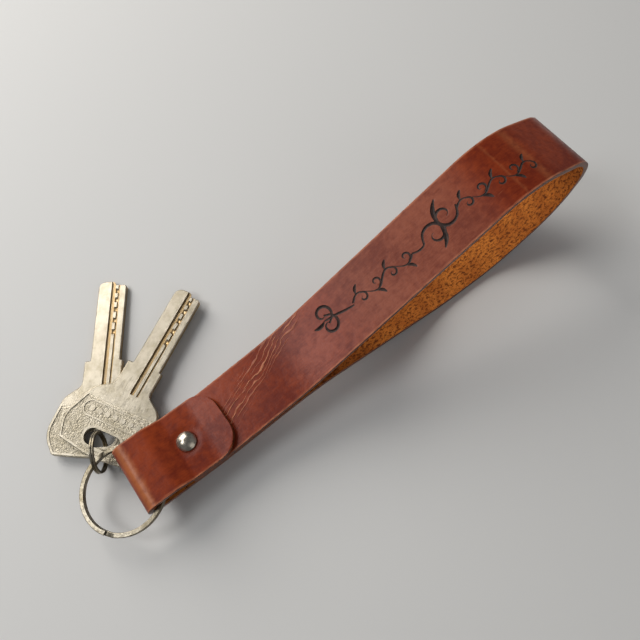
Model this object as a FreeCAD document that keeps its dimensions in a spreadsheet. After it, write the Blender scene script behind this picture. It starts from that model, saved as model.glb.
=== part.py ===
import FreeCAD, Part
import math
import os

from FreeCAD import Placement, Rotation, Vector

# Wristlet keychain: one leather strip folded into a wrist loop and riveted to itself, with a
# large split ring through the fold at its head, a small split ring on that, and two keys.
# Millimetres, +Z up. The model is laid out about the rivet (its axis is x = 0, y = 0) with the
# table at z = 0, then moved along X so that the origin is the middle of the flat stretch of
# strap that rests on the table.

doc = FreeCAD.newDocument("wristlet_keychain")
sheet = doc.addObject("Spreadsheet::Sheet", "Sizes")

SIZES = {
    # leather strip
    "strap_width": 22.0,
    "leather": 1.9,
    "layer_gap": 0.1,
    "fold_reach": 20.5,         # rivet axis to the outside of the fold
    "fold_inner_radius": 2.05,
    "tab_reach": 13.8,          # rivet axis to the end of the tab
    "tab_corner_radius": 7.5,
    "hidden_reach": 4.6,        # the strip's other end, past the rivet under the tab
    "hump_start": 3.6,          # the tab lifts over the ring from here
    "hump_clear": 0.38,         # large ring's wire to where the tab comes down again
    "neck_start": 5.5,          # the layers leave the rivet and tilt upwards from here
    "tab_spread": 1.0,          # the tab's end stands off the run under it, degrees
    "neck_bend": 15.0,          # bend radii of the strip's centre line, in its order
    "hump_bend": 5.0,
    "hump_foot_bend": 4.0,
    "lower_neck_bend": 20.0,
    # wrist loop, as corners of the strip's centre line
    "rise_reach": 40.0,
    "rise_height": 15.2,
    "crest_reach": 121.0,
    "crest_height": 50.0,
    "nose_reach": 153.5,
    "nose_height": 38.0,
    "heel_reach": 146.0,
    "heel_height": 13.0,
    "sole_end": 121.0,
    "sole_start": 98.0,
    "arch_reach": 42.0,
    "arch_height": 12.0,
    "rise_bend": 60.0,          # also at the arch and where the strip meets the table
    "sole_bend": 42.0,
    "heel_bend": 24.0,
    "nose_bend": 14.0,
    "crest_bend": 30.0,
    # double-cap rivet
    "cap_radius": 3.1,
    "cap_dome": 1.5,
    "cap_rim": 0.45,
    "cap_wall": 0.3,
    "cap_sink": 0.25,
    "post_radius": 0.9,
    "socket_radius": 1.35,
    "rivet_clear": 0.05,
    # large split ring
    "ring_room": 1.2,           # inner radius beyond half the strap's width
    "ring_wire_wide": 1.5,
    "ring_wire_high": 0.8,
    "ring_side_clear": 0.6,     # wire to the inside of the fold, at the strap's edges
    "ring_slope": 6.3,          # degrees, down away from the fold
    "ring_lift": 0.2,           # below the middle of the fold
    "ring_joggle_turn": 222.0,  # where the wire steps from one turn to the other
    "wire_corner": 0.3,         # corner radius as a share of the wire's smaller side
    "joggle_run": 2.2,          # half the step's run, in heights of the wire
    # small split ring
    "link_radius": 6.2,
    "link_wire_wide": 0.85,
    "link_wire_high": 0.65,
    "link_turn": 100.7,         # where it crosses the large ring, degrees from +X
    "link_heading": 62.0,       # degrees from +X to the upright plane that it stands in
    "link_slack": 2.125,        # play between the two rings' wires, along its heading
    "link_floor_gap": 0.05,
    "link_joggle_turn": 200.0,
    "coil_gap": 0.05,
    # keys
    "key_thickness": 1.9,
    "key_blade_length": 30.5,
    "key_blade_half": 5.05,
    "key_blade_shift": 0.5,     # the blade's middle, to the right of the neck's
    "key_neck_half": 6.5,
    "key_neck_length": 8.6,
    "key_bow_half": 16.1,
    "key_total": 63.7,
    "key_slot_length": 13.0,
    "key_slot_width": 5.5,
    "key_slot_place": 6.2,      # slot's middle to the end of the bow
    "key_slot_rim": 0.9,
    "key_chamfer": 0.28,
    "key_bow_waist": 3.7,       # from the neck back to the bow's first corner
    "key_bow_shoulder": 3.9,    # the bow's corners, in from its greatest half width
    "key_bow_bulge": 0.95,
    "key_bow_foot": 2.2,
    "key_bow_full": 8.95,        # from the bow's end to its corners
    "key_bow_heel": 1.9,
    "key_end_bend": 40.0,
    "key_bow_bend": 6.0,
    "key_full_bend": 9.0,
    "key_heel_bend": 1.5,
    "key_flare_bend": 3.0,
    "key_neck_corner": 0.5,
    "key_shoulder_corner": 0.4,
    "key_tip_corner": 2.6,
    "key_step_corner": 1.2,
    "key_step": 1.5,            # the blade's shorter side, back from its tip
    "key_step_side": 1.6,
    "key_field_depth": 0.22,
    "key_panel_place": 8.0,     # slot's middle to the panel's middle
    "key_panel_length": 24.0,
    "key_panel_width": 5.6,
    "key_panel_line": 0.45,
    "key_stud_radius": 0.95,
    "key_stud_pitch": 2.9,
    "key_stud_sink": 0.04,
    "key_groove_place": 0.9,
    "key_groove_width": 1.5,
    "key_groove_depth": 0.65,
    "key_groove_run": 10.2,      # from the blade's shoulder into the neck
    "key_rib_place": 3.0,
    "key_rib_width": 0.7,
    "key_rib_depth": 0.4,
    "key_dimple_radius": 1.1,
    "key_dimple_place": 2.2,
    "key_dimple_rise": 0.45,    # the dimple ball's middle above the key's face
    "key_gap": 0.08,
    "key_lift": 1.65,           # lower key's web above the table
    "key_web_side": 2.0,        # middle of the keys' webs to the plane of the small ring
    "key_hang": 5.38,           # and back from where its wire passes down through the slots
    "key_tip_lift": 0.05,
    "head_clear": 0.2,          # head of the strap above the upper key
    "front_heading": 29.6,
    "back_heading": 56.2,
    "back_forward": 0.7,        # lower key's web from the upper one's, along the lower key
    "back_aside": 1.0,
}

SPARE = 1.0                  # how far cutting tools reach past what they cut
TOUCH = 1e-6
CLOSE = 0.01
JOGGLE_STEPS = 8
STUDS = 7
DIMPLES = (4.0, 7.6, 11.4, 15.6, 20.0)      # back from the key's tip

for row, (alias, value) in enumerate(SIZES.items(), start=1):
    sheet.set(f"A{row}", alias)
    sheet.set(f"B{row}", str(value))
    sheet.setAlias(f"B{row}", alias)
doc.recompute()


def size(alias):
    """The value that the sheet holds for an alias."""
    return float(sheet.get(alias))


def bind(obj, **links):
    """Tie properties of an object to expressions of the sheet's cells."""
    for prop, text in links.items():
        obj.setExpression(prop, text)


# ---------------------------------------------------------------- outlines with round corners

def rounded_edges(corners, closed):
    """Edges through (x, y, radius) corners, each corner replaced by a tangent arc."""
    count = len(corners)
    points = [Vector(x, y, 0) for x, y, _ in corners]
    sides = [points[(i + 1) % count] - here for i, here in enumerate(points)]
    halves = [(sides[i - 1] * -1).getAngle(sides[i]) / 2 for i in range(count)]
    reaches = []
    for i, (_, _, radius) in enumerate(corners):
        sharp = radius <= 0 or (not closed and i in (0, count - 1))
        reaches.append(0 if sharp else radius / math.tan(halves[i]))
    shares = []
    for i, side in enumerate(sides):
        wanted = reaches[i] + reaches[(i + 1) % count]
        shares.append(min(1, side.Length / wanted) if wanted > 0 else 1)
    spans = []
    for i, here in enumerate(points):
        reach = reaches[i] * min(shares[i - 1], shares[i])
        if reach == 0:
            spans.append((here, None, here))
            continue
        before = (sides[i - 1] * -1).normalize()
        after = Vector(sides[i]).normalize()
        radius = reach * math.tan(halves[i])
        middle = (before + after).normalize()
        bulge = here + middle * (radius / math.sin(halves[i]) - radius)
        spans.append((here + before * reach, bulge, here + after * reach))
    edges = []
    for i, (start, bulge, end) in enumerate(spans):
        if bulge is not None:
            edges.append(Part.Arc(start, bulge, end).toShape())
        if i == count - 1 and not closed:
            break
        following = spans[(i + 1) % count][0]
        if end.distanceToPoint(following) > TOUCH:
            edges.append(Part.LineSegment(end, following).toShape())
    return edges


def rounded_face(corners):
    """A flat face in XY bounded by rounded corners."""
    return Part.Face(Part.Wire(rounded_edges(corners, True)))


def band_corners(path, thickness):
    """Corners of the band that follows a path of (x, y, radius) corners."""
    half = thickness / 2
    points = [Vector(x, y, 0) for x, y, _ in path]
    headings = []
    for a, b in zip(points, points[1:]):
        step = b - a
        step.normalize()
        headings.append(step)
    sides = {1: [], -1: []}
    for i, (_, _, radius) in enumerate(path):
        into = headings[max(i - 1, 0)]
        out = headings[min(i, len(headings) - 1)]
        turn = math.atan2(into.x * out.y - into.y * out.x, into.dot(out))
        mitre = half / math.cos(turn / 2)
        lean = into + out
        lean.normalize()
        for side, corners in sides.items():
            normal = Vector(-lean.y, lean.x, 0) * (side * mitre)
            own = radius - side * half * math.copysign(1, turn) if radius > 0 else 0
            spot = points[i] + normal
            corners.append((spot.x, spot.y, own))
    return sides[1] + sides[-1][::-1]


def stadium(length, width, middle_x):
    """Corners of a slot with round ends, long across the key's axis."""
    a = width / 2
    b = length / 2
    end_radius = a - CLOSE / 10
    return [
        (middle_x - a, -b, end_radius),
        (middle_x + a, -b, end_radius),
        (middle_x + a, b, end_radius),
        (middle_x - a, b, end_radius),
    ]


# ---------------------------------------------------------------- heights that follow the keys

leather = size("leather")
layer = leather + size("layer_gap")
head_underside = (size("key_lift") + 2 * size("key_thickness") + size("key_gap")
                  + size("head_clear"))
lower_layer = head_underside + leather / 2
middle_layer = lower_layer + layer
tab_layer = middle_layer + layer
head_top = tab_layer + leather / 2
fold_radius = size("fold_inner_radius") + leather / 2
fold_middle = lower_layer + fold_radius
half_width = size("strap_width") / 2
ring_inner = half_width + size("ring_room")
ring_radius = ring_inner + size("ring_wire_wide") / 2
ring_edge_x = -(size("fold_reach") - leather - size("ring_side_clear"))
ring_x = ring_edge_x - math.sqrt(ring_inner ** 2 - half_width ** 2)
hump_end = ring_x + ring_inner + size("ring_wire_wide") + size("hump_clear")
rest_reach = (size("sole_start") + size("sole_end")) / 2
home = Placement(Vector(-rest_reach, 0, 0), Rotation())

# ---------------------------------------------------------------- strap


def strap_path():
    """Centre line of the strip from the tab, round the fold and the loop, to the hidden end."""
    neck = size("neck_start")
    run_slope = math.atan2(size("rise_height") - middle_layer, size("rise_reach") - neck)
    slope = math.tan(run_slope + math.radians(size("tab_spread")))
    fold = size("fold_reach") - leather / 2
    fold_top = lower_layer + 2 * fold_radius
    sole = leather / 2
    return [
        (size("tab_reach"), tab_layer + (size("tab_reach") - neck) * slope, 0),
        (neck, tab_layer, size("neck_bend")),
        (-size("hump_start"), tab_layer, size("hump_foot_bend")),
        (hump_end, fold_top, size("hump_bend")),
        (-fold, fold_top, fold_radius),
        (-fold, lower_layer, fold_radius),
        (neck, lower_layer, size("lower_neck_bend")),
        (size("arch_reach"), size("arch_height"), size("rise_bend")),
        (size("sole_start"), sole, size("rise_bend")),
        (size("sole_end"), sole, size("sole_bend")),
        (size("heel_reach"), size("heel_height"), size("heel_bend")),
        (size("nose_reach"), size("nose_height"), size("nose_bend")),
        (size("crest_reach"), size("crest_height"), size("crest_bend")),
        (size("rise_reach"), size("rise_height"), size("rise_bend")),
        (neck, middle_layer, size("neck_bend")),
        (-size("hidden_reach"), middle_layer, 0),
    ]


def make_strap():
    """The whole strip as one band, with a rounded tab and the rivet's hole and seats."""
    upright = Rotation(Vector(1, 0, 0), 90)
    face = rounded_face(band_corners(strap_path(), leather))
    face.Placement = Placement(Vector(0, half_width, 0), upright)
    band = face.extrude(Vector(0, -2 * half_width, 0))
    tab_end = strap_path()[0]
    tab_edges = []
    for edge in band.Edges:
        spot = edge.CenterOfMass
        at_end = abs(spot.x - tab_end[0]) < CLOSE and abs(spot.z - tab_end[1]) < CLOSE
        if at_end and abs(abs(spot.y) - half_width) < CLOSE:
            tab_edges.append(edge)
    band = band.makeFillet(size("tab_corner_radius"), tab_edges)
    hole = Part.makeCylinder(size("socket_radius") + size("rivet_clear"),
                             head_top - head_underside + 2 * SPARE,
                             Vector(0, 0, head_underside - SPARE))
    seat_radius = size("cap_radius") + size("rivet_clear")
    sink = size("cap_sink") + size("rivet_clear")
    top_seat = Part.makeCylinder(seat_radius, sink + SPARE, Vector(0, 0, head_top - sink))
    low_seat = Part.makeCylinder(seat_radius, sink, Vector(0, 0, head_underside))
    return band.cut([hole, top_seat, low_seat])


strap = doc.addObject("Part::Feature", "Strap")
strap.Label = "strap"
strap.Shape = make_strap()
strap.Placement = home

# ---------------------------------------------------------------- rivet


def primitive(kind, name, **links):
    """A Part primitive whose sizes are expressions."""
    obj = doc.addObject(kind, name)
    bind(obj, **links)
    return obj


def boolean(kind, name, first, second):
    """A Part::Cut or Part::Common of two objects."""
    obj = doc.addObject(kind, name)
    obj.Base = first
    obj.Tool = second
    return obj


def dome(name, inset):
    """A low dome on a straight rim, its open side at z = 0; inset makes the inner one."""
    radius = f"(Sizes.cap_radius - {inset})"
    top = f"(Sizes.cap_dome + Sizes.cap_rim - {inset})"
    rise = f"(Sizes.cap_dome - {inset})"
    ball_radius = f"({radius} * {radius} + {rise} * {rise}) / (2 * {rise})"
    ball = primitive("Part::Sphere", name + "_ball", Radius=ball_radius)
    bind(ball, **{"Placement.Base.z": f"{top} - {ball_radius}"})
    drum = primitive("Part::Cylinder", name + "_drum", Radius=radius, Height=top)
    return boolean("Part::Common", name, ball, drum)


def cap_shell(name, label):
    """A thin domed cap."""
    shell = boolean("Part::Cut", name, dome(name + "_outer", "0"),
                    dome(name + "_inner", "Sizes.cap_wall"))
    shell.Label = label
    return shell


def disc_and_stem(name, label, stem_radius, stem_length, bore_radius):
    """A flange that fills a cap's mouth, with a solid or hollow stem on it."""
    flange_radius = "Sizes.cap_radius - Sizes.cap_wall - Sizes.rivet_clear"
    flange = primitive("Part::Cylinder", name + "_flange", Radius=flange_radius,
                       Height="Sizes.cap_rim - Sizes.rivet_clear")
    stem = primitive("Part::Cylinder", name + "_stem", Radius=stem_radius, Height=stem_length)
    piece = doc.addObject("Part::Fuse", name + "_body")
    piece.Base = flange
    piece.Tool = stem
    if bore_radius is not None:
        bore = primitive("Part::Cylinder", name + "_bore", Radius=bore_radius,
                         Height=stem_length)
        piece = boolean("Part::Cut", name + "_hollow", piece, bore)
    piece.Label = label
    return piece


flip = Rotation(Vector(1, 0, 0), 180)
cap_seat = head_top - size("cap_sink")
back_seat = head_underside + size("cap_sink")
grip = cap_seat - back_seat

rivet_cap = cap_shell("RivetCap", "rivet_cap")
rivet_cap.Placement = home * Placement(Vector(0, 0, cap_seat), Rotation())
rivet_back = cap_shell("RivetBack", "rivet_back")
rivet_back.Placement = home * Placement(Vector(0, 0, back_seat), flip)

# The post hangs from the cap's mouth and the socket stands on the back cap's mouth.
rim = size("cap_rim") - size("rivet_clear")
sheet.set("D1", str(grip - size("rivet_clear")))
sheet.setAlias("D1", "stem_length")
doc.recompute()
rivet_post = disc_and_stem("RivetPost", "rivet_post", "Sizes.post_radius",
                           "Sizes.stem_length + Sizes.cap_rim - Sizes.rivet_clear", None)
rivet_post.Placement = home * Placement(Vector(0, 0, cap_seat + rim), flip)
rivet_socket = disc_and_stem("RivetSocket", "rivet_socket", "Sizes.socket_radius",
                             "Sizes.stem_length + Sizes.cap_rim - Sizes.rivet_clear",
                             "Sizes.post_radius + Sizes.rivet_clear")
rivet_socket.Placement = home * Placement(Vector(0, 0, back_seat - rim), Rotation())

# ---------------------------------------------------------------- split rings


def wire_section(radius, wide, high, turn, height):
    """The wire's rounded section at a turn in degrees round the ring's axis."""
    corner = size("wire_corner") * min(wide, high)
    a = wide / 2
    b = high / 2
    outline = Part.Wire(rounded_edges([(radius - a, -b, corner), (radius + a, -b, corner),
                                       (radius + a, b, corner), (radius - a, b, corner)], True))
    upright = Placement(Vector(0, 0, height), Rotation(Vector(1, 0, 0), 90))
    outline.Placement = Placement(Vector(), Rotation(Vector(0, 0, 1), turn)) * upright
    return outline


def make_split_ring(radius, wide, high, gap, joggle_turn):
    """Two flat turns of wire, one over the other, joined by a step from one to the other."""
    axis = Vector(0, 0, 1)
    level = (high + gap) / 2
    reach = math.degrees(size("joggle_run") * (high + gap) / radius)
    sweep = 360 - 2 * reach
    turns = []
    for side in (-1, 1):
        section = Part.Face(wire_section(radius, wide, high, joggle_turn + reach, side * level))
        turns.append(section.revolve(Vector(), axis, sweep))
    sections = []
    for i in range(JOGGLE_STEPS + 1):
        share = i / JOGGLE_STEPS
        rise = level * math.cos(math.pi * (1 + share))
        turn = joggle_turn - reach + 2 * reach * share
        sections.append(wire_section(radius, wide, high, turn, rise))
    joggle = Part.makeLoft(sections, True)
    return turns[0].fuse([turns[1], joggle])


ring_slope = math.tan(math.radians(size("ring_slope")))


def ring_height(x):
    """Height of the large ring's middle plane."""
    return fold_middle - size("ring_lift") + ring_slope * (x - ring_edge_x)


ring_tilt = Rotation(Vector(0, 1, 0), -size("ring_slope"))
ring_middle = Vector(ring_x, 0, ring_height(ring_x))
large_ring = doc.addObject("Part::Feature", "LargeRing")
large_ring.Label = "large_split_ring"
large_ring.Shape = make_split_ring(ring_radius, size("ring_wire_wide"), size("ring_wire_high"),
                                   size("coil_gap"), size("ring_joggle_turn"))
large_ring.Placement = home * Placement(ring_middle, ring_tilt)

# The small ring stands on edge, round the large one's wire and through the keys' slots.
link_angle = math.radians(size("link_turn"))
link_heading = math.radians(size("link_heading"))
link_along = Vector(math.cos(link_heading), math.sin(link_heading), 0)
link_across = Vector(link_along.y, -link_along.x, 0)
link_offset = (size("link_radius") - size("link_wire_wide") / 2
               - size("ring_wire_wide") / 2 - size("link_slack"))
link_middle = (ring_middle
               + Vector(math.cos(link_angle), math.sin(link_angle), 0) * ring_radius
               + link_along * link_offset)
link_middle.z = size("link_radius") + size("link_wire_wide") / 2 + size("link_floor_gap")
link_frame = (Rotation(Vector(0, 0, 1), size("link_heading"))
              * Rotation(Vector(1, 0, 0), 90))
small_ring = doc.addObject("Part::Feature", "SmallRing")
small_ring.Label = "small_split_ring"
small_ring.Shape = make_split_ring(size("link_radius"), size("link_wire_wide"),
                                   size("link_wire_high"), size("coil_gap"),
                                   size("link_joggle_turn"))
small_ring.Placement = home * Placement(link_middle, link_frame)

# ---------------------------------------------------------------- keys

key_total = size("key_total")
key_thick = size("key_thickness")
slot_place = size("key_slot_place")
slot_half = size("key_slot_width") / 2
web_place = (slot_place - slot_half) / 2
tip_place = key_total - web_place


def key_outline():
    """The key's outline; x = 0 is the middle of the web, and the tip points along +X."""
    tip = tip_place
    blade_right = size("key_blade_half") + size("key_blade_shift")
    blade_left = size("key_blade_half") - size("key_blade_shift")
    shoulder = tip - size("key_blade_length")
    neck = size("key_neck_half")
    flare = shoulder - size("key_neck_length")
    bow = size("key_bow_half")
    end = -web_place
    step = tip - size("key_step")
    side = size("key_step_side")
    right = [
        (step, -blade_right, size("key_step_corner")),
        (shoulder, -blade_right, size("key_shoulder_corner")),
        (shoulder, -neck, size("key_neck_corner")),
        (flare, -neck, size("key_flare_bend")),
        (flare - size("key_bow_waist"), -(bow - size("key_bow_shoulder")),
         size("key_bow_bend")),
        (end + size("key_bow_full"), -(bow + size("key_bow_bulge")), size("key_full_bend")),
        (end + size("key_bow_heel"), -(bow - size("key_bow_foot")), size("key_heel_bend")),
    ]
    left = [(x, -y, radius) for x, y, radius in right[:1:-1]]
    tip_corners = [(shoulder, blade_left, size("key_shoulder_corner")),
                   (tip, blade_left, size("key_tip_corner")),
                   (tip, -side / 2, size("key_neck_corner")),
                   (step, -side, size("key_shoulder_corner"))]
    return right + [(end, 0, size("key_end_bend"))] + left + tip_corners


def raised_dots(x, bottom, height):
    """A row of studs across the key's bow."""
    studs = []
    for i in range(STUDS):
        y = (i - (STUDS - 1) / 2) * size("key_stud_pitch")
        studs.append(Part.makeCylinder(size("key_stud_radius"), height, Vector(x, y, bottom)))
    return studs


def key_relief():
    """What is sunk into a key's upper face: the bow's field, the grooves and the dimples."""
    rim = size("key_slot_rim")
    depth = size("key_field_depth")
    floor = key_thick - depth
    tall = Vector(0, 0, depth + SPARE)
    slot_x = slot_place - web_place
    panel_x = slot_x + size("key_panel_place")
    panel_length = size("key_panel_length")
    panel_width = size("key_panel_width")
    line = 2 * size("key_panel_line")

    def raised(face):
        """A face drawn up from the field's floor."""
        face.translate(Vector(0, 0, floor))
        return face.extrude(tall)

    field_length = web_place + panel_x + panel_width / 2 + rim
    field_width = 2 * (size("key_bow_half") + size("key_bow_bulge"))
    box = Part.makeBox(field_length + SPARE, field_width, tall.z,
                       Vector(-web_place - SPARE, -field_width / 2, floor))
    field = raised(rounded_face(key_outline()).makeOffset2D(-rim)).common(box)
    slot_rim = raised(rounded_face(stadium(size("key_slot_length") + 2 * rim,
                                           size("key_slot_width") + 2 * rim, slot_x)))
    panel = raised(rounded_face(stadium(panel_length, panel_width, panel_x)))
    inner = raised(rounded_face(stadium(panel_length - line, panel_width - line, panel_x)))
    studs = raised_dots(panel_x, floor, depth - size("key_stud_sink"))
    sunk = [field.cut([slot_rim, panel.cut(inner)] + studs)]

    groove_start = tip_place - size("key_blade_length") - size("key_groove_run")
    groove_length = tip_place + SPARE - groove_start
    for kind in ("key_groove", "key_rib"):
        width = size(kind + "_width")
        sink = size(kind + "_depth")
        sunk.append(Part.makeBox(groove_length, width, sink + SPARE,
                                 Vector(groove_start, -size(kind + "_place") - width / 2,
                                        key_thick - sink)))
    for back in DIMPLES:
        middle = Vector(tip_place - back, -size("key_dimple_place"),
                        key_thick + size("key_dimple_rise"))
        sunk.append(Part.makeSphere(size("key_dimple_radius"), middle))
    return sunk


def make_key():
    """A flat key: rounded bow with a wide slot, stepped shoulders and a grooved blade."""
    blank = rounded_face(key_outline()).extrude(Vector(0, 0, key_thick))
    borders = []
    for edge in blank.Edges:
        heights = [vertex.Point.z for vertex in edge.Vertexes]
        if max(heights) - min(heights) < TOUCH:
            borders.append(edge)
    blank = blank.makeChamfer(size("key_chamfer"), borders)
    slot = rounded_face(stadium(size("key_slot_length"), size("key_slot_width"),
                                slot_place - web_place)).extrude(Vector(0, 0, key_thick))
    upper = key_relief()
    turn_over = Rotation(Vector(1, 0, 0), 180)
    lower = []
    for tool in key_relief():
        turned = tool.copy()
        turned.Placement = Placement(Vector(0, 0, key_thick), turn_over) * turned.Placement
        lower.append(turned)
    return blank.cut([slot] + upper + lower)


# Both keys lie in one plane that slopes down along the lower key to its tip on the table.
back_reach = tip_place + size("back_forward")
key_slope = math.degrees(math.asin((size("key_lift") - size("key_tip_lift")) / back_reach))
back_turn = Rotation(Vector(0, 0, 1), size("back_heading"))
stack_frame = back_turn * Rotation(Vector(0, 1, 0), key_slope)
front_frame = stack_frame * Rotation(Vector(0, 0, 1),
                                     size("front_heading") - size("back_heading"))
up = stack_frame.multVec(Vector(0, 0, 1))

link_drop = link_middle.z - size("key_lift") - key_thick - size("key_gap") / 2
link_reach = math.sqrt(size("link_radius") ** 2 - link_drop ** 2)
web_spot = (link_middle + link_along * (link_reach - size("key_hang"))
            - link_across * size("key_web_side"))
web_spot.z = size("key_lift")

key_shape = make_key()
key_back = doc.addObject("Part::Feature", "KeyBack")
key_back.Label = "key_back"
key_back.Shape = key_shape.copy()
back_shift = stack_frame.multVec(Vector(size("back_forward"), size("back_aside"), 0))
key_back.Placement = home * Placement(web_spot + back_shift, stack_frame)
key_front = doc.addObject("Part::Feature", "KeyFront")
key_front.Label = "key_front"
key_front.Shape = key_shape.copy()
key_front.Placement = home * Placement(web_spot + up * (key_thick + size("key_gap")),
                                       front_frame)

# ---------------------------------------------------------------- checks and files

NODES = (strap, rivet_cap, rivet_post, rivet_socket, rivet_back,
         large_ring, small_ring, key_front, key_back)

doc.recompute()
for item in doc.Objects:
    if "Invalid" in item.State or "Error" in item.State:
        raise RuntimeError(f"{item.Label} failed to build")
os.makedirs("parts", exist_ok=True)
for node in NODES:
    shape = node.Shape
    if shape.isNull() or not shape.isValid() or len(shape.Solids) != 1:
        raise RuntimeError(f"{node.Label} is not one valid solid")
    shape.exportStep(os.path.join("parts", node.Label + ".step"))
    print(f"{node.Label}: {shape.Volume:.2f} mm3")
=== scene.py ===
import math

import bpy
from mathutils import Matrix, Vector


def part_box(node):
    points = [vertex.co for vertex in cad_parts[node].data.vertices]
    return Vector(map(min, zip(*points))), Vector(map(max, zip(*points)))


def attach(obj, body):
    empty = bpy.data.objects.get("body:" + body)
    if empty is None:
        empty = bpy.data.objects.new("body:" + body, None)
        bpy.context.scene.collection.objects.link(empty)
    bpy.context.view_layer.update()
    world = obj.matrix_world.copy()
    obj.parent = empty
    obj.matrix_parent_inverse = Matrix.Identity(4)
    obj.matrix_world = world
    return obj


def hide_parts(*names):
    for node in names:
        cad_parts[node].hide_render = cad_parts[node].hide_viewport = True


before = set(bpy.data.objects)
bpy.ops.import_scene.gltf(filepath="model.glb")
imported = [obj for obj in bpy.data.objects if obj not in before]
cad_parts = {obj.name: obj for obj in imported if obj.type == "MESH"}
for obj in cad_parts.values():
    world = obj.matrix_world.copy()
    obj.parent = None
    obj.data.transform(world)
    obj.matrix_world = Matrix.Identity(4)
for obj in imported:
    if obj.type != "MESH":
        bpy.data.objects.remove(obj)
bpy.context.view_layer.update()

# ---------------------------------------------------------------- strap
# One strip of vegetable-tanned cowhide, 22 mm wide and 1.9 mm thick, dyed reddish brown and
# polished on its grain side, raw on its flesh side. It is cut and engraved lying flat, then
# folded round the large ring, bent into the wrist loop and riveted to itself.

MM = 0.001
STRIP_WIDTH = 22.0 * MM
LEATHER = 1.9 * MM
TAB_CORNER = 7.5 * MM
rivet_low, rivet_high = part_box("rivet_cap")
rivet_x = (rivet_low.x + rivet_high.x) / 2

# Corners of the strip's centre line in millimetres: reach from the rivet, height, bend radius.
BENT_LINE = [
    (13.8, 12.40, 0), (5.5, 10.68, 15), (-3.6, 10.68, 4), (-9.2, 12.68, 5),
    (-19.55, 12.68, 3), (-19.55, 6.68, 3), (5.5, 6.68, 20), (42.0, 12.0, 60),
    (98.0, 0.95, 60), (121.0, 0.95, 42), (146.0, 13.0, 24), (153.5, 38.0, 14),
    (121.0, 50.0, 30), (40.0, 15.2, 60), (5.5, 8.68, 15), (-4.6, 8.68, 0),
]


def only(piece):
    """Select one object and nothing else."""
    bpy.ops.object.select_all(action="DESELECT")
    piece.select_set(True)
    bpy.context.view_layer.objects.active = piece


def apply_all(piece):
    """Apply every modifier of a piece, in order."""
    only(piece)
    for modifier in list(piece.modifiers):
        bpy.ops.object.modifier_apply(modifier=modifier.name)


def line_of_arcs(name, corners):
    """A flat curve through corners, straight between them and a true arc at each one."""
    knots = []
    last = len(corners) - 1
    for i, (x, y, radius) in enumerate(corners):
        here = Vector((rivet_x + x * MM, y * MM, 0))
        if i in (0, last):
            knots.append([here, None, None])
            continue
        before = Vector((rivet_x + corners[i - 1][0] * MM, corners[i - 1][1] * MM, 0)) - here
        after = Vector((rivet_x + corners[i + 1][0] * MM, corners[i + 1][1] * MM, 0)) - here
        before.normalize()
        after.normalize()
        half = before.angle(after) / 2
        reach = radius * MM / math.tan(half)
        turn = math.pi - 2 * half
        pull = 4 / 3 * math.tan(turn / 4) * radius * MM
        start = here + before * reach
        end = here + after * reach
        if (knots[-1][0] - start).length < 0.01 * MM:
            knots[-1][2] = start - before * pull
        else:
            knots.append([start, None, start - before * pull])
        knots.append([end, end - after * pull, None])
    curve = bpy.data.curves.new(name, "CURVE")
    curve.dimensions = "2D"
    curve.resolution_u = 48
    spline = curve.splines.new("BEZIER")
    spline.bezier_points.add(len(knots) - 1)
    for i, (spot, left, right) in enumerate(knots):
        point = spline.bezier_points[i]
        point.handle_left_type = "FREE"
        point.handle_right_type = "FREE"
        point.co = spot
        point.handle_left = left or spot.lerp(knots[max(i - 1, 0)][0], 1 / 3)
        point.handle_right = right or spot.lerp(knots[min(i + 1, len(knots) - 1)][0], 1 / 3)
    bend = bpy.data.objects.new(name, curve)
    bpy.context.scene.collection.objects.link(bend)
    return bend


bend = line_of_arcs("bend", BENT_LINE)
strip_length = bend.data.splines[0].calc_length(resolution=256)

# The flat blank, grain side up: its length along X, its tab end at x = 0.
COLUMNS = 640
ROWS = 36
CORNER_COLUMNS = 20     # columns that take up the tab's rounded corners
bpy.ops.object.select_all(action="DESELECT")
bpy.ops.mesh.primitive_grid_add(x_subdivisions=COLUMNS, y_subdivisions=ROWS, size=1)
strap = bpy.context.active_object
strap.name = "wrist_strap"
strap.scale = (strip_length, STRIP_WIDTH, 1)
strap.location = (strip_length / 2, 0, 0)
bpy.ops.object.transform_apply(location=True, rotation=True, scale=True)
for vertex in strap.data.vertices:
    column = round(vertex.co.x / strip_length * COLUMNS)
    if column <= CORNER_COLUMNS:
        swing = column / CORNER_COLUMNS * math.pi / 2
        vertex.co.x = TAB_CORNER * (1 - math.cos(swing))
        inside = STRIP_WIDTH / 2 - TAB_CORNER * (1 - math.sin(swing))
        vertex.co.y *= inside / (STRIP_WIDTH / 2)
    else:
        share = (column - CORNER_COLUMNS) / (COLUMNS - CORNER_COLUMNS)
        vertex.co.x = TAB_CORNER + (strip_length - TAB_CORNER) * share

thick = strap.modifiers.new("thick", "SOLIDIFY")
thick.thickness = LEATHER
thick.offset = 0
soften = strap.modifiers.new("soften", "BEVEL")
soften.width = 0.32 * MM
soften.segments = 3
soften.limit_method = "ANGLE"
soften.angle_limit = math.radians(60)
apply_all(strap)

# The texture map is the flat strip itself, in millimetres from the middle of the tab's end.
flat_map = strap.data.uv_layers[0]
flat_map.name = "flat_strip"
for corner in strap.data.loops:
    spot = strap.data.vertices[corner.vertex_index].co
    flat_map.data[corner.index].uv = (spot.x / MM, spot.y / MM)

GRAIN, FLESH, EDGE = 0, 1, 2
FACE_UP = 0.95
for face in strap.data.polygons:
    if face.normal.z > FACE_UP:
        face.material_index = GRAIN
    elif face.normal.z < -FACE_UP:
        face.material_index = FLESH
    else:
        face.material_index = EDGE


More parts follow.
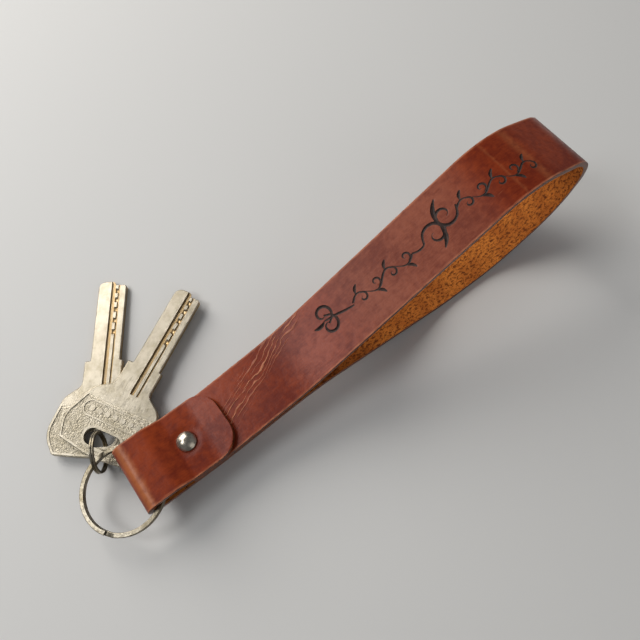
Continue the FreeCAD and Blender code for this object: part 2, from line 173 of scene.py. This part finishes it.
def new_finish(name, **shader_values):
    """A material with plain values set on its shader's own sockets."""
    finish = bpy.data.materials.new(name)
    finish.use_nodes = True
    shader = finish.node_tree.nodes["Principled BSDF"]
    for socket, value in shader_values.items():
        shader.inputs[socket.replace("_", " ")].default_value = value
    return finish


def node(finish, kind, inputs=None, **settings):
    """A node of a material; each input is a plain value or another node's output."""
    made = finish.node_tree.nodes.new("ShaderNode" + kind)
    for setting, value in settings.items():
        setattr(made, setting, value)
    for socket, value in (inputs or {}).items():
        if isinstance(value, bpy.types.NodeSocket):
            finish.node_tree.links.new(value, made.inputs[socket])
        else:
            made.inputs[socket].default_value = value
    return made


def maths(finish, operation, first, second=0.0, clamp=False):
    """The output of one sum."""
    made = node(finish, "Math", {0: first, 1: second}, operation=operation, use_clamp=clamp)
    return made.outputs[0]


def noise(finish, vector, scale, detail=4.0, roughness=0.55, distortion=0.0):
    """The output of a noise texture, from 0 to 1."""
    made = node(finish, "TexNoise", {"Vector": vector, "Scale": scale, "Detail": detail,
                                     "Roughness": roughness, "Distortion": distortion})
    return made.outputs["Fac"]


def graded(finish, value, low, high, to_low=0.0, to_high=1.0):
    """A value eased from one span to another, and held at its ends."""
    made = node(finish, "MapRange", {"Value": value, "From Min": low, "From Max": high,
                                     "To Min": to_low, "To Max": to_high},
                interpolation_type="SMOOTHSTEP")
    return made.outputs["Result"]


def mixed(finish, share, first, second, way="MIX"):
    """One colour mixed into another by a share."""
    made = node(finish, "Mix", {0: share, 6: first, 7: second}, data_type="RGBA",
                blend_type=way)
    return made.outputs[2]


def band(finish, value, middle, half):
    """1 at the middle of a band, easing to 0 at its sides."""
    off = maths(finish, "ABSOLUTE", maths(finish, "SUBTRACT", value, middle))
    return graded(finish, off, 0.0, half, 1.0, 0.0)


def relief(finish, height, distance, strength=1.0, under=None):
    """A bump from a height, on top of another one."""
    inputs = {"Height": height, "Distance": distance, "Strength": strength}
    if under is not None:
        inputs["Normal"] = under
    return node(finish, "Bump", inputs).outputs["Normal"]


def surface(finish, **links):
    """Join node outputs to the shader's sockets."""
    shader = finish.node_tree.nodes["Principled BSDF"]
    for socket, output in links.items():
        finish.node_tree.links.new(output, shader.inputs[socket.replace("_", " ")])


MAHOGANY = (0.130, 0.0125, 0.0028, 1)
COGNAC = (0.270, 0.040, 0.0085, 1)
PULLED_UP_AND_HIGHLIGHT = (0.520, 0.190, 0.070, 1)
HIGHLIGHT_TAN = (0.560, 0.215, 0.110, 1)
WORN = (0.400, 0.120, 0.050, 1)
PAINTED_SHEEN = (0.310, 0.120, 0.075, 1)

grain = new_finish("polished_grain", Coat_Weight=0.05, Coat_Roughness=0.2,
                   Specular_IOR_Level=0.2)
strip_map = node(grain, "UVMap", uv_map="flat_strip").outputs["UV"]
strip_axes = node(grain, "SeparateXYZ", {0: strip_map})
along = strip_axes.outputs["X"]
across = strip_axes.outputs["Y"]
clouds = noise(grain, strip_map, 0.055, 3.0, 0.5)
mottle = noise(grain, strip_map, 0.42, 6.0, 0.6)
fibre_map = node(grain, "Mapping", {"Vector": strip_map, "Scale": (0.35, 2.2, 1),
                                    "Rotation": (0, 0, math.radians(24))}).outputs[0]
fibres = noise(grain, fibre_map, 1.0, 3.0, 0.6)
tone = maths(grain, "ADD", maths(grain, "MULTIPLY", clouds, 0.55),
             maths(grain, "MULTIPLY", mottle, 0.45))
tone = maths(grain, "ADD", tone, maths(grain, "MULTIPLY",
                                       maths(grain, "SUBTRACT", fibres, 0.5), 0.22))
leather_colour = mixed(grain, graded(grain, tone, 0.34, 0.68), MAHOGANY, COGNAC)

# Pale bands along the fold and the loop's far end: partly wax pulled up pale where the leather is
# bent hardest, partly a painted highlight along the rounded bends.
FOLD_BAND = 31.9
NOSE_BAND = 253.7
NOSE_LINE = 262.2
waver = maths(grain, "MULTIPLY", maths(grain, "SUBTRACT", mottle, 0.5), 2.2)
wavered = maths(grain, "ADD", along, waver)
fold_pull_and_highlight = maths(grain, "MULTIPLY", band(grain, wavered, FOLD_BAND, 2.3), 0.58)
nose_pull_and_highlight = maths(grain, "MULTIPLY", band(grain, wavered, NOSE_BAND, 2.4), 0.20)
nose_line = maths(grain, "MULTIPLY", band(grain, wavered, NOSE_LINE, 0.8), 0.14)
pulled_up_and_highlit = maths(grain, "ADD", fold_pull_and_highlight, maths(grain, "ADD", nose_pull_and_highlight, nose_line))
pulled_up_and_highlit = maths(grain, "MULTIPLY", pulled_up_and_highlit, graded(grain, mottle, 0.25, 0.6, 0.45, 1.0))
# The paler colour mixed in here is pulled-up wax and painted highlight together.
leather_colour = mixed(grain, pulled_up_and_highlit, leather_colour, PULLED_UP_AND_HIGHLIGHT)

# Fine creases that run aslant from the tab's corner to the strap's far edge; their pale colour is a
# painted highlight along each ridge, and the bump below gives their relief.
CREASE_START = (376.3, 2.5)
CREASE_HEADING = math.radians(-159.7)
CREASE_PITCH = 1.25
BUNDLE_HALF = 5.2
BUNDLE_FADE = (50.0, 36.0)
crease_map = node(grain, "Mapping", {"Vector": strip_map, "Location": (*CREASE_START, 0),
                                     "Rotation": (0, 0, CREASE_HEADING)},
                  vector_type="TEXTURE").outputs[0]
crease_axes = node(grain, "SeparateXYZ", {0: crease_map})
wander_map = node(grain, "Mapping", {"Vector": crease_map, "Scale": (0.45, 1.0, 1)}).outputs[0]
wander = noise(grain, wander_map, 0.16, 3.0, 0.5)
wandered = maths(grain, "ADD", crease_axes.outputs["Y"],
                 maths(grain, "MULTIPLY", maths(grain, "SUBTRACT", wander, 0.5), 5.4))
ripple = maths(grain, "SINE", maths(grain, "MULTIPLY", wandered, 2 * math.pi / CREASE_PITCH))
crease_line = graded(grain, ripple, 0.45, 1.0)
bundle = maths(grain, "MULTIPLY", band(grain, crease_axes.outputs["Y"], 0.0, BUNDLE_HALF),
               maths(grain, "MULTIPLY", graded(grain, crease_axes.outputs["X"], -6.0, 3.0),
                     graded(grain, crease_axes.outputs["X"], *BUNDLE_FADE)))
length_map = node(grain, "Mapping", {"Vector": crease_map, "Scale": (0.07, 0.9, 1)}).outputs[0]
broken = graded(grain, noise(grain, length_map, 1.0, 3.0, 0.6), 0.37, 0.54)
creases = maths(grain, "MULTIPLY", crease_line, maths(grain, "MULTIPLY", bundle, broken))
# Painted highlight along each crease ridge.
leather_colour = mixed(grain, maths(grain, "MULTIPLY", creases, 0.8), leather_colour, HIGHLIGHT_TAN)

# Short scuffs: thin stretched cells, few of them raised enough to show.
scuff_map = node(grain, "Mapping", {"Vector": strip_map, "Scale": (0.10, 0.9, 1),
                                    "Rotation": (0, 0, math.radians(-32))}).outputs[0]
scuffs = graded(grain, noise(grain, scuff_map, 1.0, 2.0, 0.5, 0.6), 0.70, 0.76)
leather_colour = mixed(grain, maths(grain, "MULTIPLY", scuffs, 0.4), leather_colour, WORN)

# A painted sheen lies on the middle of the upper run, paler and a little duller, and a painted
# highlight lies along both rims.
SHEEN_RISE = (264.0, 282.0)
SHEEN_FALL = (334.0, 312.0)
RIM_HIGHLIGHT_RISE = (10.3, 10.8)
# Painted sheen, standing in for a reflection on the middle of the upper run.
painted_sheen = maths(grain, "MULTIPLY", graded(grain, along, *SHEEN_RISE),
              graded(grain, along, *SHEEN_FALL))
painted_sheen = maths(grain, "MULTIPLY", painted_sheen, graded(grain, tone, 0.36, 0.62, 0.18, 0.46))
leather_colour = mixed(grain, painted_sheen, leather_colour, PAINTED_SHEEN)
# Painted highlight along both rims, broken up by the fibres.
rim_highlight = graded(grain, maths(grain, "ABSOLUTE", across), *RIM_HIGHLIGHT_RISE)
rim_highlight = maths(grain, "MULTIPLY", rim_highlight, graded(grain, fibres, 0.4, 0.6, 0.25, 0.65))
leather_colour = mixed(grain, rim_highlight, leather_colour, HIGHLIGHT_TAN)

pores = node(grain, "TexVoronoi", {"Vector": strip_map, "Scale": 2.1}).outputs["Distance"]
skin = relief(grain, pores, 0.00003, 0.35)
skin = relief(grain, fibres, 0.00006, 0.35, skin)
skin = relief(grain, mottle, 0.00025, 0.4, skin)
skin = relief(grain, creases, 0.00022, 0.9, skin)
gloss = graded(grain, tone, 0.30, 0.72, 0.42, 0.29)
gloss = maths(grain, "ADD", gloss, maths(grain, "MULTIPLY", creases, 0.15))
gloss = maths(grain, "ADD", gloss, maths(grain, "MULTIPLY", painted_sheen, 0.15))
surface(grain, Base_Color=leather_colour, Roughness=gloss, Normal=skin)

FLESH_PALE = (0.600, 0.195, 0.032, 1)
FLESH_DEEP = (0.440, 0.125, 0.020, 1)
FLESH_SPECK = (0.130, 0.034, 0.008, 1)
flesh = new_finish("raw_flesh_side", Roughness=0.9, Specular_IOR_Level=0.15)
flesh_map = node(flesh, "UVMap", uv_map="flat_strip").outputs["UV"]
nap_map = node(flesh, "Mapping", {"Vector": flesh_map, "Scale": (1.0, 1.9, 1),
                                  "Rotation": (0, 0, math.radians(18))}).outputs[0]
nap = noise(flesh, nap_map, 0.70, 7.0, 0.72)
patches = noise(flesh, flesh_map, 0.12, 3.0, 0.5)
hair = noise(flesh, nap_map, 2.6, 4.0, 0.7)
flesh_colour = mixed(flesh, graded(flesh, patches, 0.35, 0.65), FLESH_PALE, FLESH_DEEP)
speckled = maths(flesh, "MAXIMUM", graded(flesh, nap, 0.465, 0.60),
                 maths(flesh, "MULTIPLY", graded(flesh, hair, 0.52, 0.66), 0.6))
flesh_colour = mixed(flesh, speckled, flesh_colour, FLESH_SPECK)
fuzz = relief(flesh, nap, 0.00035, 0.8)
fuzz = relief(flesh, hair, 0.00012, 0.7, fuzz)
surface(flesh, Base_Color=flesh_colour, Normal=fuzz)

EDGE_DARK = (0.060, 0.012, 0.004, 1)
EDGE_WARM = (0.260, 0.080, 0.026, 1)
edge = new_finish("burnished_edge", Specular_IOR_Level=0.25, Coat_Weight=0.1,
                  Coat_Roughness=0.3)
edge_place = node(edge, "TexCoord").outputs["Object"]
layers = noise(edge, edge_place, 900.0, 5.0, 0.65)
edge_colour = mixed(edge, graded(edge, layers, 0.40, 0.66), EDGE_DARK, EDGE_WARM)
surface(edge, Base_Color=edge_colour, Roughness=graded(edge, layers, 0.3, 0.7, 0.30, 0.48),
        Normal=relief(edge, layers, 0.00012, 0.5))

# The engraving: a vine with curls and leaves, burned about a third of a millimetre deep.
BURN_START = 335.7      # millimetres from the tab's end, where the vine begins
BURN_SINK = 0.27 * MM   # the burning tool's middle above the grain

burnt = new_finish("burnt_groove", Roughness=0.72)
burnt_place = node(burnt, "TexCoord").outputs["Object"]
char = noise(burnt, burnt_place, 1400.0, 4.0, 0.6)
surface(burnt, Base_Color=mixed(burnt, graded(burnt, char, 0.38, 0.68),
                                (0.012, 0.0055, 0.004, 1), (0.050, 0.018, 0.010, 1)),
        Normal=relief(burnt, char, 0.0001, 0.6))

strokes = []


def stroke(points, widths):
    """One burned line through points (reading distance, rise) with its width at each point."""
    strokes.append((points, widths))


def curl(reach, rise, radius, start, turns, width):
    """A spiral that winds in from its outer end, thick in the middle of its sweep."""
    points = []
    widths = []
    steps = 14
    for i in range(steps + 1):
        share = i / steps
        angle = start + turns * 2 * math.pi * share
        own = radius * (1 - 0.80 * share)
        points.append((reach + own * math.cos(angle), rise + own * math.sin(angle)))
        widths.append(0.28 + (width - 0.28) * math.sin(math.pi * min(1.0, 0.12 + share)))
    stroke(points, widths)


def leaf(reach, rise, heading, length, width):
    """A pointed leaf, bowed a little to one side."""
    ahead = Vector((math.cos(heading), math.sin(heading)))
    aside = Vector((-ahead.y, ahead.x))
    points = []
    widths = []
    for i in range(7):
        share = i / 6
        spot = (Vector((reach, rise)) + ahead * length * share
                + aside * 0.14 * length * math.sin(math.pi * share))
        points.append(tuple(spot))
        widths.append(0.2 + (width - 0.2) * math.sin(math.pi * share) ** 0.8)
    stroke(points, widths)


def vine(first, last, wave, swing, drop, width):
    """A waving stem with a curl and a leaf by turns at its crests."""
    steps = int((last - first) / 0.9)
    points = []
    widths = []
    for i in range(steps + 1):
        reach = first + (last - first) * i / steps
        phase = 2 * math.pi * (reach - first) / wave
        points.append((reach, -drop * (reach - first) / (last - first)
                       + swing * math.sin(phase)))
        widths.append(width * (0.72 + 0.28 * math.cos(phase)))
    stroke(points, widths)
    side = 1
    reach = first + wave / 4
    while reach < last - 1:
        rise = -drop * (reach - first) / (last - first) + side * swing
        curl(reach + 0.9, rise - side * 2.3, 1.75, side * math.pi / 2, -side * 0.95, 0.75)
        leaf(reach - 0.4, rise, side * math.radians(52), 3.2, 1.15)
        side = -side
        reach += wave / 2


for mirror in (1, -1):
    curl(5.4, 2.0 + 2.1 * mirror, 3.6, -mirror * math.pi / 2, mirror * 1.15, 1.15)
leaf(4.6, 2.0, math.pi, 4.4, 1.5)
stroke([(4.6, 2.0), (8.5, 1.3), (12.0, 0.0), (15.0, -0.6)], [0.5, 1.0, 0.9, 0.6])
vine(15.0, 38.0, 11.5, 1.7, 1.0, 0.85)
curl(47.0, -1.6, 4.6, math.pi, -1.2, 1.25)
curl(52.5, 1.2, 4.4, 0.0, -1.2, 1.25)
leaf(49.6, -0.4, math.radians(62), 8.4, 1.7)
leaf(49.6, -0.4, math.radians(-118), 7.2, 1.6)
stroke([(38.0, -1.0), (40.5, -2.4), (42.4, -1.6)], [0.6, 0.9, 0.6])
vine(56.5, 82.5, 10.4, 1.45, 4.0, 0.75)

tool_curve = bpy.data.curves.new("burning_tool", "CURVE")
tool_curve.dimensions = "3D"
tool_curve.bevel_depth = MM
tool_curve.bevel_resolution = 2
tool_curve.use_fill_caps = True
tool_curve.resolution_u = 3
for points, widths in strokes:
    spline = tool_curve.splines.new("NURBS")
    spline.points.add(len(points) - 1)
    for point, (reach, rise), width in zip(spline.points, points, widths):
        point.co = ((BURN_START - reach) * MM, -rise * MM, LEATHER / 2 + BURN_SINK, 1)
        point.radius = math.hypot(width / 2, BURN_SINK / MM)
    spline.order_u = 3
    spline.use_endpoint_u = True
tool = bpy.data.objects.new("burning_tool", tool_curve)
bpy.context.scene.collection.objects.link(tool)
only(tool)
bpy.ops.object.convert(target="MESH")
tool = bpy.context.active_object
tool.data.materials.clear()
tool.data.materials.append(burnt)

for finish in (grain, flesh, edge, burnt):
    strap.data.materials.append(finish)
burn = strap.modifiers.new("burn", "BOOLEAN")
burn.operation = "DIFFERENCE"
burn.solver = "EXACT"
burn.use_self = True
burn.material_mode = "TRANSFER"
burn.object = tool
apply_all(strap)
bpy.data.objects.remove(tool)

# Stood on its edge, bent along the line, and laid back so that the line runs in XZ.
only(strap)
strap.rotation_euler = (math.pi / 2, 0, 0)
bpy.ops.object.transform_apply(location=True, rotation=True, scale=True)
bent = strap.modifiers.new("bent", "CURVE")
bent.object = bend
bent.deform_axis = "POS_X"
apply_all(strap)
strap.rotation_euler = (math.pi / 2, 0, 0)
bpy.ops.object.transform_apply(location=True, rotation=True, scale=True)
bpy.data.objects.remove(bend)

# The rivet pulls the leather down round both caps, and passes through all three layers.
DIMPLE = 0.32 * MM
DIMPLE_REACH = 5.3 * MM
CAP_EDGE = 3.15 * MM
cap_foot = rivet_low.z
back_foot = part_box("rivet_back")[1].z
for vertex in strap.data.vertices:
    off = math.hypot(vertex.co.x - rivet_x, vertex.co.y)
    if off > DIMPLE_REACH:
        continue
    share = min(1.0, (DIMPLE_REACH - off) / (DIMPLE_REACH - CAP_EDGE))
    sink = DIMPLE * share * share * (3 - 2 * share)
    if vertex.co.z > cap_foot:
        vertex.co.z -= sink
    elif vertex.co.z < back_foot:
        vertex.co.z += sink
PUNCH_RADIUS = 1.4 * MM
PUNCH_DEPTH = 14 * MM
bpy.ops.object.select_all(action="DESELECT")
bpy.ops.mesh.primitive_cylinder_add(vertices=48, radius=PUNCH_RADIUS, depth=PUNCH_DEPTH,
                                    location=(rivet_x, 0, (cap_foot + back_foot) / 2))
punch = bpy.context.active_object
punch.data.materials.append(edge)
hole = strap.modifiers.new("hole", "BOOLEAN")
hole.operation = "DIFFERENCE"
hole.solver = "EXACT"
hole.material_mode = "TRANSFER"
hole.object = punch
apply_all(strap)
bpy.data.objects.remove(punch)
only(strap)
bpy.ops.object.shade_smooth_by_angle(angle=math.radians(40))

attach(strap, "strap")
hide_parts("strap")

# ---------------------------------------------------------------- rivet
# A double-cap rivet of nickel-plated brass, set through three layers: a domed cap on each
# face, a post from one crimped into the hollow socket of the other.

nickel = new_finish("nickel_plate", Metallic=1.0, Base_Color=(0.70, 0.64, 0.54, 1))
nickel_place = node(nickel, "TexCoord").outputs["Object"]
haze = noise(nickel, nickel_place, 420.0, 5.0, 0.6)
specks = noise(nickel, nickel_place, 2600.0, 3.0, 0.6)
surface(nickel, Base_Color=mixed(nickel, graded(nickel, haze, 0.35, 0.65),
                                 (0.36, 0.32, 0.255, 1), (0.54, 0.49, 0.41, 1)),
        Roughness=graded(nickel, haze, 0.3, 0.7, 0.20, 0.36),
        Normal=relief(nickel, specks, 0.00002, 0.4))


def refinish(name, *finishes):
    """Give a CAD node its own finish."""
    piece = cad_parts[name]
    piece.data.materials.clear()
    for finish in finishes:
        piece.data.materials.append(finish)


for name in ("rivet_cap", "rivet_post", "rivet_socket", "rivet_back"):
    refinish(name, nickel)

# ---------------------------------------------------------------- split rings
# Two turns of flattened, tempered steel wire with a thin nickel finish that has warmed and
# dulled with handling. The large ring passes through the fold, and the small one hangs on it.

wire = new_finish("ring_wire", Metallic=1.0, Roughness=0.3)
wire_place = node(wire, "TexCoord").outputs["Object"]
tarnish = noise(wire, wire_place, 160.0, 4.0, 0.6)
rubbed = noise(wire, wire_place, 1500.0, 4.0, 0.65)
surface(wire, Base_Color=mixed(wire, graded(wire, tarnish, 0.35, 0.68),
                               (0.25, 0.22, 0.17, 1), (0.13, 0.105, 0.065, 1)),
        Roughness=graded(wire, rubbed, 0.35, 0.7, 0.26, 0.42),
        Normal=relief(wire, rubbed, 0.00003, 0.5))
refinish("large_split_ring", wire)
refinish("small_split_ring", wire)

# ---------------------------------------------------------------- keys
# Two flat cylinder keys of nickel silver: stamped bows with a pebbled field, a smooth rim and
# a row of studs in a framed panel, milled grooves worn down to the brass, dimpled blades.

KEY_THICKNESS = 1.9 * MM
FRONT_HEADING = 29.6
BACK_HEADING = 56.2
BOW_FIELD_FADE = (0.0160, 0.0155)    # metres from the web, where the pebbled field ends
GROOVE_FADE = (0.0170, 0.0190)
key_slope = math.radians(1.463)


def key_finish(name, heading, base):
    """Nickel silver with its pattern laid out on one key's own axes."""
    finish = new_finish(name, Metallic=1.0)
    lying = Matrix.Rotation(math.radians(BACK_HEADING), 3, "Z") @ Matrix.Rotation(key_slope, 3, "Y")
    lying = lying @ Matrix.Rotation(math.radians(heading - BACK_HEADING), 3, "Z")
    place = node(finish, "TexCoord").outputs["Object"]
    own = node(finish, "Mapping", {"Vector": place, "Location": base,
                                   "Rotation": lying.to_euler()},
               vector_type="TEXTURE").outputs[0]
    axes = node(finish, "SeparateXYZ", {0: own})
    depth = maths(finish, "ABSOLUTE",
                  maths(finish, "SUBTRACT", axes.outputs["Z"], KEY_THICKNESS / 2))
    sunk = graded(finish, depth, 0.78 * MM, 0.74 * MM)
    in_bow = graded(finish, axes.outputs["X"], *BOW_FIELD_FADE)
    field = maths(finish, "MULTIPLY", sunk, in_bow)
    groove = maths(finish, "MULTIPLY", graded(finish, depth, 0.70 * MM, 0.60 * MM),
                   graded(finish, axes.outputs["X"], *GROOVE_FADE))
    pebbles = node(finish, "TexVoronoi", {"Vector": own, "Scale": 2300.0},
                   feature="SMOOTH_F1").outputs["Distance"]
    grime = noise(finish, own, 300.0, 5.0, 0.65)
    rubs_map = node(finish, "Mapping", {"Vector": own, "Scale": (0.25, 2.0, 2.0)}).outputs[0]
    rubs = noise(finish, rubs_map, 1500.0, 4.0, 0.7)
    colour = mixed(finish, graded(finish, grime, 0.35, 0.7), (0.53, 0.475, 0.38, 1),
                   (0.39, 0.34, 0.25, 1))
    colour = mixed(finish, maths(finish, "MULTIPLY", field,
                                 graded(finish, pebbles, 0.25, 0.7, 0.1, 0.75)),
                   colour, (0.26, 0.23, 0.17, 1))
    colour = mixed(finish, maths(finish, "MULTIPLY", groove,
                                 graded(finish, rubs, 0.35, 0.6, 0.55, 0.95)),
                   colour, (0.40, 0.26, 0.11, 1))
    rough = graded(finish, rubs, 0.3, 0.7, 0.28, 0.46)
    rough = maths(finish, "ADD", rough, maths(finish, "MULTIPLY", field, 0.2))
    bumps = relief(finish, rubs, 0.00003, 0.4)
    bumps = relief(finish, maths(finish, "MULTIPLY", field, pebbles), 0.00022, 0.8, bumps)
    surface(finish, Base_Color=colour, Roughness=rough, Normal=bumps)
    return finish


FRONT_WEB = (-0.135556, 0.016262, 0.003629)
BACK_WEB = (-0.136026, 0.017358, 0.001632)
refinish("key_front", key_finish("front_key_metal", FRONT_HEADING, FRONT_WEB))
refinish("key_back", key_finish("back_key_metal", BACK_HEADING, BACK_WEB))

# ---------------------------------------------------------------- floor, lights and camera
# A pale table, one large soft light from behind, a window-like one above the head of the
# strap whose reflection lies along the loop, and a view from above and to the left.

bpy.ops.object.select_all(action="DESELECT")
bpy.ops.mesh.primitive_plane_add(size=4, location=(0, 0, 0))
floor = bpy.context.active_object
floor.name = "floor"
floor_finish = new_finish("pale_table", Base_Color=(0.66, 0.65, 0.63, 1), Roughness=0.8,
                          Specular_IOR_Level=0.2)
floor.data.materials.append(floor_finish)

world = bpy.data.worlds.new("studio")
bpy.context.scene.world = world
world.use_nodes = True
world.node_tree.nodes["Background"].inputs["Color"].default_value = (0.93, 0.96, 1.0, 1)
world.node_tree.nodes["Background"].inputs["Strength"].default_value = 0.2


def soft_light(name, direction, distance, size, watts, colour):
    """A square area light that faces the middle of the object."""
    light = bpy.data.lights.new(name, "AREA")
    light.size = size
    light.energy = watts
    light.color = colour
    lamp = bpy.data.objects.new(name, light)
    aim = Vector((-0.04, 0, 0.015))
    way = Vector(direction).normalized()
    lamp.location = aim + way * distance
    lamp.rotation_euler = way.to_track_quat("Z", "Y").to_euler()
    bpy.context.scene.collection.objects.link(lamp)


soft_light("key_light", (-0.25, 0.95, 0.58), 0.9, 0.6, 7.5, (1.0, 0.98, 0.95))
soft_light("window", (-0.60, 0.30, 0.74), 0.7, 0.22, 1.1, (0.96, 0.98, 1.0))
soft_light("fill_light", (0.3, -0.9, 0.5), 1.2, 0.8, 1.5, (1.0, 0.99, 0.97))
bpy.context.scene.view_settings.view_transform = "Standard"

CAMERA_TURN = -32.81
CAMERA_RISE = 67.53
CAMERA_ROLL = -4.5
CAMERA_DISTANCE = 0.2017
camera_data = bpy.data.cameras.new("camera")
camera_data.sensor_width = 36.0
camera_data.lens = 32.14
camera_data.clip_start = 0.01
camera = bpy.data.objects.new("camera", camera_data)
bpy.context.scene.collection.objects.link(camera)
facing = (Matrix.Rotation(math.radians(CAMERA_TURN), 4, "Z")
          @ Matrix.Rotation(math.radians(90 - CAMERA_RISE), 4, "X")
          @ Matrix.Rotation(math.radians(CAMERA_ROLL), 4, "Z"))
target = Vector((-0.05029, 0.01112, 0))
camera.matrix_world = (Matrix.Translation(target) @ facing
                       @ Matrix.Translation((0, 0, CAMERA_DISTANCE)))
bpy.context.scene.camera = camera
